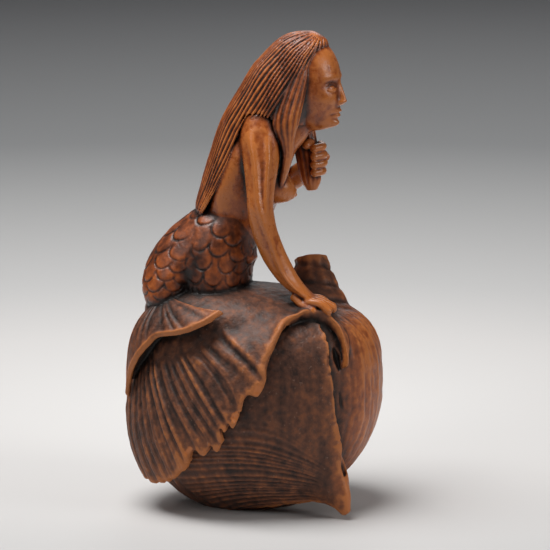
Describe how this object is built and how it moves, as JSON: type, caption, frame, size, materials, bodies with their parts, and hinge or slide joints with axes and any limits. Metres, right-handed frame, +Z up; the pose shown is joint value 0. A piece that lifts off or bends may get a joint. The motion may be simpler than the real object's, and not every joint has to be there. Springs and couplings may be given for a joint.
{
  "type": "netsuke",
  "caption": "Carved boxwood netsuke: a mermaid with long hair kneels on a frilled whelk shell, propped on one arm, her scaled tail and fin laid over the shell.",
  "frame": {"origin": "on the ground under the middle of the carving's outline", "axes": "+X the way the mermaid faces, +Y her left side, +Z up"},
  "size_m": [0.0274, 0.0234, 0.0498],
  "materials": {
    "boxwood": "stained, satin on the worn heights and dark in the cuts"
  },
  "bodies": {
    "root": {"mermaid_netsuke": "boxwood"}
  },
  "joints": []
}
